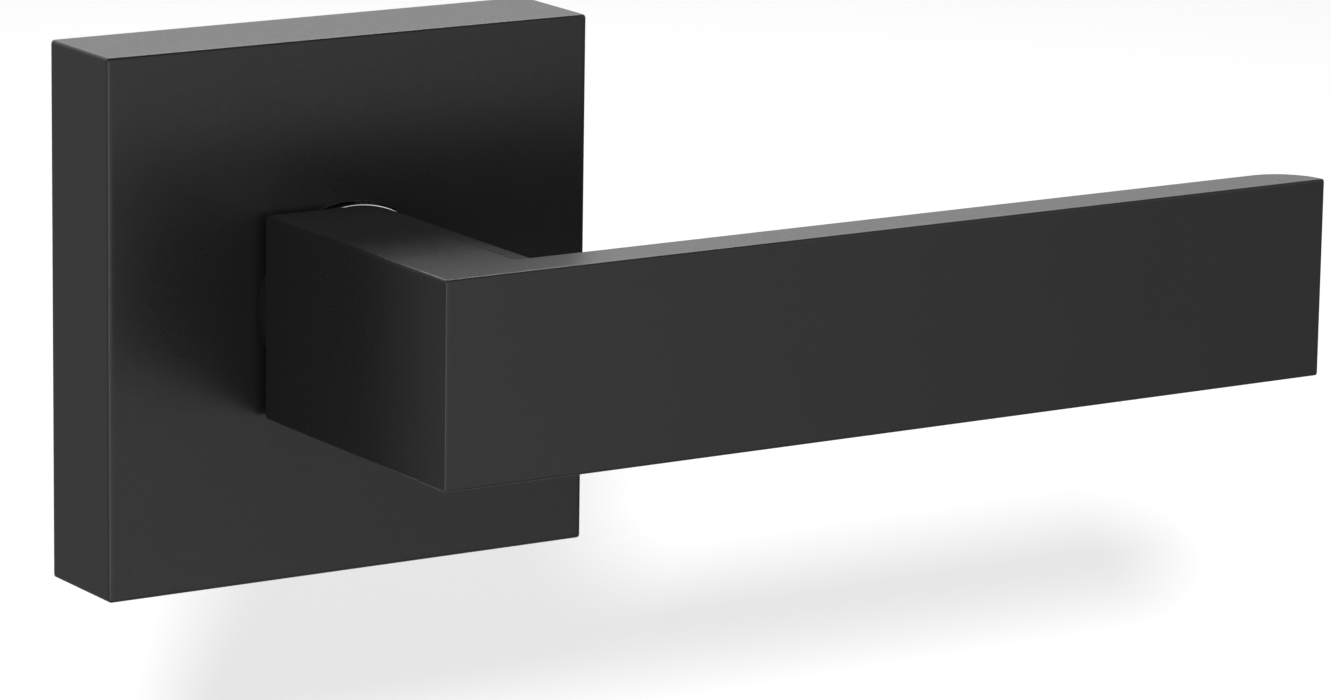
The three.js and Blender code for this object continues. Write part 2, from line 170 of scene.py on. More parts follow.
def seal(ob):
    """Merges points a cut left less than a micron apart and closes any face it dropped."""
    bm = bmesh.new()
    bm.from_mesh(ob.data)
    bmesh.ops.remove_doubles(bm, verts=bm.verts, dist=8e-7)
    bmesh.ops.dissolve_degenerate(bm, edges=bm.edges, dist=8e-7)
    rim = [e for e in bm.edges if len(e.link_faces) == 1]
    if rim:
        bmesh.ops.holes_fill(bm, edges=rim, sides=6)
    bmesh.ops.recalc_face_normals(bm, faces=bm.faces)
    if bm.calc_volume(signed=True) < 0:
        bmesh.ops.reverse_faces(bm, faces=bm.faces)
    bm.to_mesh(ob.data)
    bm.free()
    return ob


def smooth(ob, angle=32, weighted=True):
    me = ob.data
    me.shade_smooth()
    me.set_sharp_from_angle(angle=math.radians(angle))
    if weighted:
        m = ob.modifiers.new("weighted", "WEIGHTED_NORMAL")
        m.keep_sharp = True
        m.weight = 60
    return ob


def prism(name, pts, axis, a0, a1):
    """pts are (x, z) for axis Y and (x, y) for axis Z."""
    n = len(pts)
    if axis == "Y":
        low = [(x, a0, z) for x, z in pts]
        high = [(x, a1, z) for x, z in pts]
    else:
        low = [(x, y, a0) for x, y in pts]
        high = [(x, y, a1) for x, y in pts]
    faces = [tuple(range(n)), tuple(range(2 * n - 1, n - 1, -1))]
    faces += [(i, n + i, n + (i + 1) % n, (i + 1) % n) for i in range(n)]
    return new_obj(name, low + high, faces)


def box(name, x0, x1, y0, y1, z0, z1):
    return prism(name, [(x0, z0), (x1, z0), (x1, z1), (x0, z1)], "Y", y0, y1)


def lathe(name, profile, segments=96, centre=(0, 0), axis="Y", phase=0.0):
    """profile is a closed run of (radius, height); a run that touches radius 0 is closed by the axis."""
    verts, rows = [], []
    for r, y in profile:
        if r < 1e-6:
            rows.append([len(verts)] * segments)
            verts.append((0, y, 0))
        else:
            row = []
            for i in range(segments):
                a = 2 * math.pi * i / segments + phase
                row.append(len(verts))
                verts.append((r * math.cos(a), y, r * math.sin(a)))
            rows.append(row)
    faces = []
    touches = any(r < 1e-6 for r, _ in profile)
    last = len(rows) - 1 if touches else len(rows)
    for k in range(last):
        a, b = rows[k], rows[(k + 1) % len(rows)]
        for i in range(segments):
            j = (i + 1) % segments
            quad = []
            for v in (a[i], a[j], b[j], b[i]):
                if v not in quad:
                    quad.append(v)
            if len(quad) > 2:
                faces.append(tuple(quad))
    if axis == "Y":
        verts = [(x + centre[0], y, z + centre[1]) for x, y, z in verts]
    else:
        verts = [(x + centre[0], z + centre[1], y) for x, y, z in verts]
    return new_obj(name, verts, faces)


def rounded(points, closed=True, steps=4):
    """points are (a, b, radius): a polyline whose corners are turned into arcs."""
    out = []
    n = len(points)
    for i, (a, b, r) in enumerate(points):
        if r <= 0 or (not closed and i in (0, n - 1)):
            out.append((a, b))
            continue
        p = Vector((a, b))
        u = Vector(points[i - 1][:2]) - p
        v = Vector(points[(i + 1) % n][:2]) - p
        u.normalize()
        v.normalize()
        half = math.acos(max(-1, min(1, u.dot(v)))) / 2
        cut = r / math.tan(half)
        centre = p + (u + v).normalized() * (r / math.sin(half))
        s, e = p + u * cut - centre, p + v * cut - centre
        turn = math.atan2(s.x * e.y - s.y * e.x, s.dot(e))
        for k in range(steps + 1):
            t = turn * k / steps
            q = Vector((
                s.x * math.cos(t) - s.y * math.sin(t),
                s.x * math.sin(t) + s.y * math.cos(t),
            )) + centre
            out.append((q.x, q.y))
    return out


def rounded_square(half, r, steps=6):
    return rounded([(-half, -half, r), (half, -half, r), (half, half, r), (-half, half, r)], True, steps)


def arc(r, a0, a1, n, centre=(0, 0)):
    return [
        (
            centre[0] + r * math.cos(math.radians(a0 + (a1 - a0) * k / n)),
            centre[1] + r * math.sin(math.radians(a0 + (a1 - a0) * k / n)),
        )
        for k in range(n + 1)
    ]


def hole_cutter(name, r, y0, y1, centre=(0, 0), flare=0.0, at=(), segments=48, axis="Y"):
    """A round cutter along Y (or Z) that flares where it leaves a face, so the hole gets a rounded mouth.
    at lists (height of the face, direction of the outside)."""
    mouths = dict()
    for h, d in at:
        mouths[d] = h
    prof = []
    if -1 in mouths:
        h = mouths[-1]
        prof += [(0, min(y0, h - 1)), (r + flare, min(y0, h - 1))]
        prof += [(r + flare - flare * math.sin(t), h + flare - flare * math.cos(t)) for t in
                 [math.pi / 2 * k / 4 for k in range(5)]]
    else:
        prof += [(0, y0), (r, y0)]
    if 1 in mouths:
        h = mouths[1]
        prof += [(r + flare - flare * math.cos(t), h - flare + flare * math.sin(t)) for t in
                 [math.pi / 2 * k / 4 for k in range(5)]]
        prof += [(r + flare, max(y1, h + 1)), (0, max(y1, h + 1))]
    else:
        prof += [(r, y1), (0, y1)]
    return lathe(name, prof, segments, centre, axis)


def threaded(name, r, pitch, y0, y1, centre=(0, 0), axis="Y", depth=None, columns=24, per_pitch=8,
             plain_to=None, flip=False):
    """A rod with a helical thread from plain_to (or y0) to y1; the thread runs out at both ends."""
    depth = depth or pitch * 0.5
    start = y0 if plain_to is None else plain_to
    rows = max(8, int(round((y1 - start) / pitch * per_pitch)))
    heights = []
    if plain_to is not None:
        heights += [y0, start - 0.01]
    heights += [start + (y1 - start) * k / rows for k in range(rows + 1)]
    verts, faces = [], []
    for h in heights:
        for i in range(columns):
            a = 2 * math.pi * i / columns
            if h < start - 1e-6:
                rr = r
            else:
                w = 0.5 - 0.5 * math.cos(2 * math.pi * (h / pitch - i / columns))
                fade = min(1.0, (h - start) / pitch, (y1 - h) / (0.4 * pitch) + 0.0)
                lead = max(0.0, 1 - (y1 - h) / (0.9 * pitch))
                rr = r - depth * max(0.0, w * min(1.0, max(0.0, fade))) - depth * 0.9 * lead
                rr = min(rr, r)
            verts.append((rr * math.cos(a), h, rr * math.sin(a)))
    n = columns
    for k in range(len(heights) - 1):
        for i in range(n):
            j = (i + 1) % n
            faces.append((k * n + i, k * n + j, (k + 1) * n + j, (k + 1) * n + i))
    faces.append(tuple(range(n)))
    top = (len(heights) - 1) * n
    faces.append(tuple(range(top, top + n)))
    if flip:
        verts = [(x, y0 + y1 - y, z) for x, y, z in verts]
    if axis == "Y":
        verts = [(x + centre[0], y, z + centre[1]) for x, y, z in verts]
    else:
        verts = [(x + centre[0], z + centre[1], y) for x, y, z in verts]
    return new_obj(name, verts, faces)


def hexagon(name, r, h0, h1, centre, axis="Z", turn=0):
    pts = [
        (centre[0] + r * math.cos(math.radians(60 * k + turn)), centre[1] + r * math.sin(math.radians(60 * k + turn)))
        for k in range(6)
    ]
    return prism(name, pts, axis, h0, h1)


def cross_cutter(name, w, t, y0, y1, centre):
    """The recess of a cross-head screw: four tapering wings and a pointed middle."""
    x, z = centre
    verts, faces = [], []
    top = []
    outline = [(w, -t), (w, t), (t * 1.6, t * 1.6), (t, w), (-t, w), (-t * 1.6, t * 1.6), (-w, t), (-w, -t),
               (-t * 1.6, -t * 1.6), (-t, -w), (t, -w), (t * 1.6, -t * 1.6)]
    for px, pz in outline:
        verts.append((x + px, y0, z + pz))
    for px, pz in outline:
        k = 0.45 if max(abs(px), abs(pz)) > t * 1.7 else 0.8
        verts.append((x + px * k, y1, z + pz * k))
    n = len(outline)
    faces = [tuple(range(n)), tuple(range(2 * n - 1, n - 1, -1))]
    faces += [(i, n + i, n + (i + 1) % n, (i + 1) % n) for i in range(n)]
    return new_obj(name, verts, faces)


def sweep(name, path, r, sides=14):
    """A round wire along path, closed with flat ends; frames are carried along the path."""
    pts = [Vector(p) for p in path]
    tangents = []
    for i in range(len(pts)):
        a = pts[max(0, i - 1)]
        b = pts[min(len(pts) - 1, i + 1)]
        tangents.append((b - a).normalized())
    side = tangents[0].orthogonal().normalized()
    verts, faces = [], []
    for i, p in enumerate(pts):
        t = tangents[i]
        side = (side - t * side.dot(t)).normalized()
        up = t.cross(side)
        scale = 0.82 if i in (0, len(pts) - 1) else 1.0
        for k in range(sides):
            a = 2 * math.pi * k / sides
            verts.append(tuple(p + side * (r * scale * math.cos(a)) + up * (r * scale * math.sin(a))))
    for i in range(len(pts) - 1):
        for k in range(sides):
            m = (k + 1) % sides
            faces.append((i * sides + k, i * sides + m, (i + 1) * sides + m, (i + 1) * sides + k))
    faces.append(tuple(range(sides)))
    faces.append(tuple(range((len(pts) - 1) * sides, len(pts) * sides)))
    return new_obj(name, verts, faces)


# ------------------------------------------------------------------- materials
def nodes_of(name):
    mat = bpy.data.materials.new(name)
    mat.use_nodes = True
    nt = mat.node_tree
    return mat, nt, nt.nodes["Principled BSDF"]


def noise(nt, coord, scale, detail=2.0, rough=0.5):
    n = nt.nodes.new("ShaderNodeTexNoise")
    n.inputs["Scale"].default_value = scale
    n.inputs["Detail"].default_value = detail
    n.inputs["Roughness"].default_value = rough
    nt.links.new(coord, n.inputs["Vector"])
    return n.outputs["Fac"]


def remap(nt, value, lo, hi, in_lo=0.3, in_hi=0.7):
    n = nt.nodes.new("ShaderNodeMapRange")
    n.inputs["From Min"].default_value = in_lo
    n.inputs["From Max"].default_value = in_hi
    n.inputs["To Min"].default_value = lo
    n.inputs["To Max"].default_value = hi
    nt.links.new(value, n.inputs["Value"])
    return n.outputs["Result"]


def mix_colour(nt, fac, a, b):
    n = nt.nodes.new("ShaderNodeMix")
    n.data_type = "RGBA"
    nt.links.new(fac, n.inputs["Factor"])
    for socket, value in ((n.inputs[6], a), (n.inputs[7], b)):
        if isinstance(value, tuple):
            socket.default_value = (*value, 1)
        else:
            nt.links.new(value, socket)
    return n.outputs[2]


def bump(nt, height, strength, distance, below=None):
    n = nt.nodes.new("ShaderNodeBump")
    n.inputs["Strength"].default_value = strength
    n.inputs["Distance"].default_value = distance
    nt.links.new(height, n.inputs["Height"])
    if below is not None:
        nt.links.new(below, n.inputs["Normal"])
    return n.outputs["Normal"]


def mapped(nt, scale):
    tc = nt.nodes.new("ShaderNodeTexCoord")
    mp = nt.nodes.new("ShaderNodeMapping")
    mp.inputs["Scale"].default_value = scale
    nt.links.new(tc.outputs["Object"], mp.inputs["Vector"])
    return mp.outputs["Vector"]


def black_coat():
    mat, nt, b = nodes_of("black_coat")
    co = mapped(nt, (1, 1, 1))
    broad = noise(nt, co, 55, 3)
    fine = noise(nt, co, 1500, 3, 0.6)
    peel = noise(nt, co, 700, 2)
    geo = nt.nodes.new("ShaderNodeNewGeometry")
    # Painted highlight: convex edges, found by pointiness, get a lighter colour that stands in for the bright lines
    # light draws along the rounded edges.
    painted_edge_highlight = remap(nt, geo.outputs["Pointiness"], 0.0, 1.0, 0.53, 0.60)
    body = mix_colour(nt, broad, (0.0100, 0.0094, 0.0096), (0.0126, 0.0118, 0.0121))
    colour = mix_colour(nt, painted_edge_highlight, body, (0.019, 0.018, 0.018))
    nt.links.new(colour, b.inputs["Base Color"])
    rough_a = remap(nt, broad, 0.27, 0.31)
    add = nt.nodes.new("ShaderNodeMath")
    add.operation = "ADD"
    nt.links.new(rough_a, add.inputs[0])
    nt.links.new(remap(nt, fine, -0.02, 0.035), add.inputs[1])
    nt.links.new(add.outputs[0], b.inputs["Roughness"])
    n1 = bump(nt, peel, 0.08, 0.00002)
    nt.links.new(bump(nt, fine, 0.05, 0.000008, n1), b.inputs["Normal"])
    b.inputs["IOR"].default_value = 1.4
    return mat


def turned_metal(name, colour, dark, rough_lo, rough_hi, groove=9000, strength=0.12):
    """Metal with fine turning marks round the spindle axis."""
    mat, nt, b = nodes_of(name)
    co = mapped(nt, (1, 1, 1))
    long_marks = mapped(nt, (0.12, 1.0, 0.12))
    marks = noise(nt, long_marks, groove, 2)
    broad = noise(nt, co, 140, 3)
    nt.links.new(mix_colour(nt, broad, dark, colour), b.inputs["Base Color"])
    nt.links.new(remap(nt, broad, rough_lo, rough_hi), b.inputs["Roughness"])
    b.inputs["Metallic"].default_value = 1.0
    nt.links.new(bump(nt, marks, strength, 0.000006), b.inputs["Normal"])
    return mat


def plated_steel(name, colour, dark, tint, rough_lo, rough_hi, grain=(1.0, 1.0, 0.06), scale=2600):
    """Zinc-plated or oxidised steel: cloudy plating, faint rolling grain, small spots."""
    mat, nt, b = nodes_of(name)
    co = mapped(nt, (1, 1, 1))
    lines = noise(nt, mapped(nt, grain), scale, 3, 0.6)
    cloud = noise(nt, co, 120, 4, 0.6)
    spots = noise(nt, co, 900, 2)
    base = mix_colour(nt, remap(nt, cloud, 0, 1), dark, colour)
    col = mix_colour(nt, remap(nt, spots, 0.0, 0.35, 0.45, 0.75), base, tint)
    nt.links.new(col, b.inputs["Base Color"])
    add = nt.nodes.new("ShaderNodeMath")
    add.operation = "ADD"
    nt.links.new(remap(nt, cloud, rough_lo, rough_hi), add.inputs[0])
    nt.links.new(remap(nt, lines, -0.03, 0.05), add.inputs[1])
    nt.links.new(add.outputs[0], b.inputs["Roughness"])
    b.inputs["Metallic"].default_value = 1.0
    n1 = bump(nt, lines, 0.15, 0.00001)
    nt.links.new(bump(nt, spots, 0.08, 0.00001, n1), b.inputs["Normal"])
    return mat


def acetal_plastic():
    mat, nt, b = nodes_of("acetal")
    co = mapped(nt, (1, 1, 1))
    cloud = noise(nt, co, 90, 3)
    fine = noise(nt, co, 2200, 2)
    nt.links.new(mix_colour(nt, cloud, (0.012, 0.012, 0.013), (0.020, 0.020, 0.021)), b.inputs["Base Color"])
    nt.links.new(remap(nt, fine, 0.42, 0.55), b.inputs["Roughness"])
    nt.links.new(bump(nt, fine, 0.10, 0.00001), b.inputs["Normal"])
    return mat


BLACK = black_coat()
NICKEL = turned_metal("nickel", (0.80, 0.79, 0.76), (0.70, 0.69, 0.66), 0.13, 0.22)
ZINC = plated_steel("zinc_steel", (0.56, 0.58, 0.61), (0.40, 0.42, 0.45), (0.62, 0.60, 0.52), 0.30, 0.42)
DARK = plated_steel("dark_steel", (0.055, 0.055, 0.058), (0.030, 0.030, 0.032), (0.09, 0.08, 0.07), 0.38, 0.5)
SPRING = plated_steel("spring_steel", (0.27, 0.27, 0.28), (0.17, 0.17, 0.18), (0.20, 0.16, 0.12), 0.26, 0.36)
ACETAL = acetal_plastic()


def install(ob, node, body, mat, angle=32):
    """The finished piece stands for its CAD node, on the same body."""
    seal(ob)
    smooth(ob, angle)
    ob.data.materials.clear()
    ob.data.materials.append(mat)
    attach(ob, body)
    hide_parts(node)
    return ob


# ----------------------------------------------------------------------- lever
def make_lever():
    e = 0.5
    plan = [(XL, YF), (XR, YF)]
    plan += arc(BAR_T, 0, 90, 28, (XR - BAR_T, YF))[0:]
    plan += [(XL, YB)]
    clean = []
    for p in plan:
        if not clean or (abs(p[0] - clean[-1][0]) + abs(p[1] - clean[-1][1])) > 1e-5:
            clean.append(p)
    bar = prism("lever_handle_bar", clean, "Z", -LEVER_H, LEVER_H)
    bevel(bar, e, 4, 40)
    s = 0.002
    r = LEVER_H - s
    d = [(XL + s, -r)] + arc(r, -90, 90, 72) + [(XL + s, r)]
    neck = prism("neck", d, "Y", YB - 2.5, YN)
    bevel_edges(neck, lambda a, b: abs(a.x - XL) < 0.01 and abs(b.x - XL) < 0.01 and abs(a.y - b.y) > 5, e, 4)
    bevel_edges(neck, lambda a, b: abs(a.y - YN) < 0.01 and abs(b.y - YN) < 0.01, 0.15, 2)
    boolean(bar, neck, "UNION")
    socket = hole_cutter("socket", 8.3, -38.5, -10, flare=0.4, at=((YN, 1),), segments=64)
    boolean(bar, socket)
    grub = hole_cutter("grub_hole", 2.8, -14, -7, centre=(0, -24), flare=0.3, at=((-LEVER_H, -1),), segments=40, axis="Z")
    boolean(bar, grub)
    tidy(bar, 0.2)
    return install(bar, "lever_handle", "lever", BLACK)


lever = make_lever()
lever.name = "lever_body"


# ------------------------------------------------------------------ rose cover
SIDE_ANGLES = [-45 + 90 * k / 32 for k in range(33)]


def square_ring(half, corner, steps=4):
    """Points round a rounded square; every ring has the same count, so rings join into quads."""
    flat = half - corner
    out = []
    for quarter in range(4):
        t = math.radians(90 * quarter)
        c, s = math.cos(t), math.sin(t)
        side = [(half, flat * math.tan(math.radians(a))) for a in SIDE_ANGLES]
        bend = [
            (flat + corner * math.cos(math.radians(90 * k / steps)), flat + corner * math.sin(math.radians(90 * k / steps)))
            for k in range(1, steps)
        ]
        out += [(x * c - z * s, x * s + z * c) for x, z in side + bend]
    return out


def round_ring(r, steps=4):
    out = []
    for quarter in range(4):
        for a in SIDE_ANGLES + [45] * (steps - 1):
            t = math.radians(a + 90 * quarter)
            out.append((r * math.cos(t), r * math.sin(t)))
    return out


def loft(name, rings):
    """rings are (points, y); the last joins the first, which closes the shell."""
    n = len(rings[0][0])
    verts = [(x, y, z) for pts, y in rings for x, z in pts]
    faces = []
    for k in range(len(rings)):
        a, b = k * n, ((k + 1) % len(rings)) * n
        for i in range(n):
            j = (i + 1) % n
            faces.append((a + i, a + j, b + j, b + i))
    me = bpy.data.meshes.new(name)
    me.from_pydata([[c * MM for c in v] for v in verts], [], faces)
    bm = bmesh.new()
    bm.from_mesh(me)
    bmesh.ops.remove_doubles(bm, verts=bm.verts, dist=1e-8)
    bmesh.ops.dissolve_degenerate(bm, edges=bm.edges, dist=1e-9)
    bmesh.ops.recalc_face_normals(bm, faces=bm.faces)
    if bm.calc_volume(signed=True) < 0:
        bmesh.ops.reverse_faces(bm, faces=bm.faces)
    bm.to_mesh(me)
    bm.free()
    ob = bpy.data.objects.new(name, me)
    bpy.context.scene.collection.objects.link(ob)
    return ob


def make_cover():
    h, y0, y1, e, f = ROSE_H, ROSE_Y, rc_hi[1], 0.42, 0.07
    i, g, rim = h - WALL, 0.9, 0.16
    wall = y0 + WALL
    quarter = [math.radians(90 * k / 5) for k in range(6)]
    rings = [(round_ring(HOLE_R + 0.1), wall), (round_ring(HOLE_R), wall - 0.1)]
    rings += [(round_ring(HOLE_R + f - f * math.cos(t)), y0 + f - f * math.sin(t)) for t in quarter]
    rings += [(round_ring(HOLE_R + f + 0.5), y0), (round_ring(18), y0), (round_ring(26), y0)]
    rings += [(square_ring(h - e - 0.4, 0), y0)]
    rings += [(square_ring(h - e + e * math.sin(t), e * math.sin(t)), y0 + e - e * math.cos(t)) for t in quarter]
    rings += [(square_ring(h, e), y0 + e + 0.4), (square_ring(h, e), y1 - 0.6), (square_ring(h, e), y1 - rim)]
    rings += [(square_ring(h - rim * 0.3, e), y1 - rim * 0.3), (square_ring(h - rim, e), y1)]
    rings += [(square_ring(i + rim, g), y1), (square_ring(i + rim * 0.3, g), y1 - rim * 0.3), (square_ring(i, g), y1 - rim)]
    rings += [(square_ring(i, g), y1 - 0.6), (square_ring(i, g), wall + g + 0.4)]
    rings += [(square_ring(i - g + g * math.cos(t), g * math.cos(t)), wall + g - g * math.sin(t)) for t in quarter]
    rings += [(square_ring(i - g - 0.4, 0), wall), (round_ring(26), wall), (round_ring(HOLE_R + 0.6), wall)]
    cover = loft("rose_shell", rings)
    boolean(cover, hole_cutter("screw", 1.8, -40, -25, centre=(0, -5.2), flare=0.3, at=((-h, -1),), segments=40, axis="Z"))
    return install(cover, "rose_cover", "rose", BLACK)


make_cover()


# ------------------------------------------------------------------------- hub
def make_hub():
    y0, y1 = hub_lo[1], hub_hi[1]
    r, c = 8.0, 12.6
    pts = [
        (0, y0, 0), (r, y0, 0.8), (r, -15.4, 0.2), (c, -15.4, 0.15), (c, -14.3, 0.15), (11.5, -14.3, 0.1),
        (11.5, -12.3, 0.15), (r, -12.3, 0.2),
        (r, 1.15, 0), (r - 0.9, 1.15, 0), (r - 0.9, 2.25, 0), (r, 2.25, 0), (r, y1, 0.4), (0, y1, 0),
    ]
    hub = lathe("hub", rounded(pts, False, 4), 128)
    q = 4.15
    square = prism("square", rounded_square(q, 0.25, 3), "Y", -60, 20)
    boolean(hub, square)
    boolean(hub, box("flat_l", -20, -6.9, -9.7, 20, -20, 20))
    boolean(hub, box("flat_r", 6.9, 20, -9.7, 20, -20, 20))
    boolean(hub, box("side_l", -20, -10, -20, -9.7, -20, 20))
    boolean(hub, box("side_r", 10, 20, -20, -9.7, -20, 20))
    boolean(hub, box("seat", -4, 4, -27.5, -20.5, -20, -7.6))
    tidy(hub, 0.2)
    return install(hub, "drive_hub", "lever", NICKEL)


make_hub()


# --------------------------------------------------------------------- spindle
def make_spindle():
    outside = prism("spindle_bar", rounded_square(4.0, 0.55, 4), "Y", 4.4, sp_hi[1])
    bevel(outside, 0.35, 3, 60)
    inside = prism("inside", rounded_square(3.95, 0.55, 4), "Y", sp_lo[1], 5.5)
    bevel(inside, 0.35, 3, 60)
    boolean(outside, inside, "UNION")
    tidy(outside, 0.2)
    return install(outside, "spindle", "lever", ZINC)


make_spindle()


# ------------------------------------------------------------------ cam driver
def sector(name, r0, r1, half, y0, y1, steps=16):
    pts = arc(r1, -half, half, steps) + arc(r0, half, -half, steps)
    return prism(name, pts, "Y", y0, y1)


def make_cam():
    disc = lathe("cam", rounded([
        (0, -9.35, 0), (13.2, -9.35, 0.2), (13.2, -7.75, 0.2), (0, -7.75, 0)], False, 3), 96)
    wing = bevel(sector("wing", 11.0, 20.5, 12, -9.33, -7.77), 0.18, 2, 40)
    boolean(disc, wing, "UNION")
    leg = bevel(sector("leg", 15.8, 20.48, 11.97, -8.4, -3.6), 0.18, 2, 40)
    boolean(disc, leg, "UNION")
    arm = bevel(box("arm", -16.0, -10.7, -9.33, -7.77, -1.7, 1.7), 0.18, 2, 40)
    boolean(disc, arm, "UNION")
    lug = bevel(box("lug", -15.98, -13.0, -8.4, -2.7, -1.68, 1.68), 0.25, 3, 40)
    boolean(disc, lug, "UNION")
    hole = lathe("key", [(0, -20), (8.3, -20), (8.3, 5), (0, 5)], 96)
    boolean(hole, box("key_flats", -7.15, 7.15, -25, 10, -20, 20), "INTERSECT")
    boolean(disc, hole)
    tidy(disc, 0.2)
    return install(disc, "cam_driver", "lever", DARK)


make_cam()


# ------------------------------------------------------ washers, ring and bush
def make_thrust_washer():
    ob = lathe("thrust", rounded([
        (8.3, -7.5, 0.08), (12.4, -7.5, 0.08), (12.4, -7.1, 0.08), (8.3, -7.1, 0.08)], True, 3), 96)
    return install(ob, "thrust_washer", "lever", SPRING)


def make_wave_washer():
    n = 144
    section = rounded([(8.3, -0.15, 0.05), (11.6, -0.15, 0.05), (11.6, 0.15, 0.05), (8.3, 0.15, 0.05)], True, 2)
    verts, faces = [], []
    k = len(section)
    for i in range(n):
        a = 2 * math.pi * i / n
        w = 0.62 + 0.155 * math.cos(3 * a)
        for r, y in section:
            verts.append((r * math.cos(a), y + w, r * math.sin(a)))
    for i in range(n):
        j = (i + 1) % n
        for m in range(k):
            q = (m + 1) % k
            faces.append((i * k + m, i * k + q, j * k + q, j * k + m))
    ob = new_obj("wave", verts, faces)
    return install(ob, "wave_washer", "lever", SPRING)


def make_circlip():
    lo, hi = cc_lo[1], cc_hi[1]
    r_in = 7.4
    g = 24.5
    outer, inner = [], []
    steps = 120
    for k in range(steps + 1):
        a = -90 + g + (360 - 2 * g) * k / steps
        off = abs(((a - 90 + 180) % 360) - 180)
        width = 9.2 + 1.35 * (0.5 + 0.5 * math.cos(math.radians(off * 1.05)))
        if k < 9 or k > steps - 9:
            width = 10.55
        elif k < 12 or k > steps - 12:
            width = 10.2
        outer.append((width * math.cos(math.radians(a)), width * math.sin(math.radians(a))))
        inner.append((r_in * math.cos(math.radians(a)), r_in * math.sin(math.radians(a))))
    ob = prism("ring", outer + inner[::-1], "Y", lo, hi)
    bevel(ob, 0.07, 2, 40)
    for side in (-1, 1):
        a = math.radians(-90 + side * (g + 8.5))
        c = (9.35 * math.cos(a), 9.35 * math.sin(a))
        boolean(ob, hole_cutter("ear", 0.62, lo - 2, hi + 2, centre=c, segments=24))
    return install(ob, "circlip", "lever", SPRING)


def make_bush():
    ob = lathe("bush", rounded([
        (8.25, -12.0, 0.25), (12.2, -12.0, 0.2), (12.2, -11.15, 0.15), (9.65, -11.15, 0.1), (9.65, -9.75, 0.25),
        (8.25, -9.75, 0.15)], True, 3), 96)
    return install(ob, "bearing_bush", "rose", ACETAL)


make_thrust_washer()
make_wave_washer()
make_circlip()
make_bush()


# --------------------------------------------------------------- mounting plate
def make_plate():
    h = mp_hi[0]
    base = prism("plate", rounded_square(h, 3.0, 8), "Y", -2.2, 0)
    bevel(base, 0.2, 2, 60)
    for s in (1, -1):
        tab_y0 = mp_lo[1]
        profile = [(tab_y0, 1.5, 0), (tab_y0, 0, 0), (-0.2, 0, 0), (-0.2, 1.5, 0)]
        z_out = s * (h - 0.004)
        z_in = s * (h - 1.5)
        lo, hi = min(z_out, z_in), max(z_out, z_in)
        tab = box("tab", -8, 8, tab_y0, -1.0, lo, hi)
        bevel(tab, 0.25, 3, 40)
        boolean(base, tab, "UNION")
    for z in (19, -19):
        boolean(base, hole_cutter("fix", 3.5, -12, 12, centre=(0, z), flare=0.25, at=((0, 1),), segments=48))
    boolean(base, hole_cutter("middle", 8.4, -12, 12, flare=0.3, at=((0, 1),), segments=96))
    for x in (-24, 24):
        for z in (-24, 24):
            boolean(base, hole_cutter("tap", 1.8, -12, 12, centre=(x, z), flare=0.2, at=((0, 1),), segments=32))
    for x in (-22, 22):
        pts = arc(2.2, 0, 180, 16, (x, 9)) + arc(2.2, 180, 360, 16, (x, -9))
        boolean(base, prism("slot", pts, "Y", -12, 12))
    boolean(base, hole_cutter("cover_screw", 1.8, -40, -25, centre=(0, -5.2), segments=32, axis="Z"))
    tidy(base, 0.2)
    return install(base, "mounting_plate", "rose", ZINC)


make_plate()


# --------------------------------------------------------------- spring housing
def make_housing():
    y0 = sh_lo[1]
    cup = lathe("cup", rounded([
        (25.5, -2.52, 0), (25.5, y0, 1.6), (9.9, y0, 0.15), (9.9, y0 + 1.2, 0), (24.3, y0 + 1.2, 0.5), (24.3, -2.52, 0)],
        True, 6), 128)
    flange = prism("flange", rounded_square(27.5, 4.0, 8), "Y", -3.7, -2.5)
    bevel(flange, 0.15, 2, 60)
    boolean(flange, lathe("flange_hole", [(0, -8), (24.8, -8), (24.8, 2), (0, 2)], 128))
    boolean(cup, flange, "UNION")
    for z in (19, -19):
        well = lathe("well", [(0, y0 + 0.02), (5.4, y0 + 0.02), (5.4, -2.55), (0, -2.55)], 64, (0, z))
        boolean(cup, well, "UNION")
    anchor = bevel(box("anchor", -19.8, -17.0, y0 + 0.5, -2.7, -1.7, 1.7), 0.25, 3, 40)
    boolean(cup, anchor, "UNION")
    for z in (19, -19):
        boolean(cup, hole_cutter("well_bore", 4.4, -20, 5, centre=(0, z), flare=0.3, at=((y0, -1),), segments=64))
    for x in (-24, 24):
        for z in (-24, 24):
            boolean(cup, hole_cutter("flange_screw", 1.8, -12, 5, centre=(x, z), segments=32))
    a = math.radians(63.4)
    for s in (1, -1):
        c = (17.6 * math.cos(a), s * 17.6 * math.sin(a))
        boolean(cup, hole_cutter("pin", 1.7, -20, -8, centre=c, segments=32))
    tidy(cup, 0.2)
    return install(cup, "spring_housing", "rose", ZINC)


make_housing()

for name in ("stop_pin_upper", "stop_pin_lower"):
    lo, hi = box_mm(name)
    c = ((lo[0] + hi[0]) / 2, (lo[2] + hi[2]) / 2)
    pin = lathe(name + "_pin", rounded([
        (0, lo[1], 0), (1.5, lo[1], 0.5), (1.5, hi[1], 0.3), (0, hi[1], 0)], False, 4), 40, c)
    install(pin, name, "rose", SPRING)


